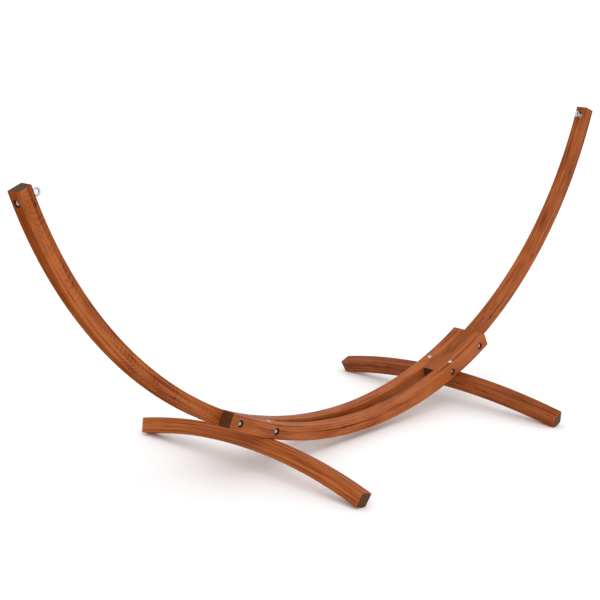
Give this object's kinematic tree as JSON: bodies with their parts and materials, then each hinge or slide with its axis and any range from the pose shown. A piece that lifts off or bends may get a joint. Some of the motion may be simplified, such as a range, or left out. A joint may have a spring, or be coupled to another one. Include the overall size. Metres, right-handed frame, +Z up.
{
  "type": "hammock stand",
  "caption": "Freestanding curved timber hammock stand: bent arms clamped between bent side beams on arched cross feet, with an eye bolt at each tip to hang a hammock from.",
  "frame": {"origin": "on the floor under the middle of the stand", "axes": "+X along the arc towards the right arm, -Y the front where the nuts of the cross bolts show, +Z up"},
  "size_m": [3.2472, 1.1506, 1.1804],
  "materials": {
    "stained_timber": "reddish brown translucent stain over softwood, satin",
    "zinc_steel": "bright zinc plate"
  },
  "bodies": {
    "root": {"left_arm": "stained_timber", "right_arm": "stained_timber", "front_side_beam": "stained_timber", "back_side_beam": "stained_timber", "left_foot": "stained_timber", "right_foot": "stained_timber", "left_cross_bolts": "zinc_steel", "left_cross_washers": "zinc_steel", "left_cross_nuts": "zinc_steel", "left_foot_bolts": "zinc_steel", "left_foot_washers": "zinc_steel", "left_foot_nuts": "zinc_steel", "left_eye_bolt": "zinc_steel", "left_eye_lock_washer": "zinc_steel", "left_eye_lock_nut": "zinc_steel", "left_eye_washer": "zinc_steel", "left_eye_nut": "zinc_steel", "right_cross_bolts": "zinc_steel", "right_cross_washers": "zinc_steel", "right_cross_nuts": "zinc_steel", "right_foot_bolts": "zinc_steel", "right_foot_washers": "zinc_steel", "right_foot_nuts": "zinc_steel", "right_eye_bolt": "zinc_steel", "right_eye_lock_washer": "zinc_steel", "right_eye_lock_nut": "zinc_steel", "right_eye_washer": "zinc_steel", "right_eye_nut": "zinc_steel"}
  },
  "joints": []
}
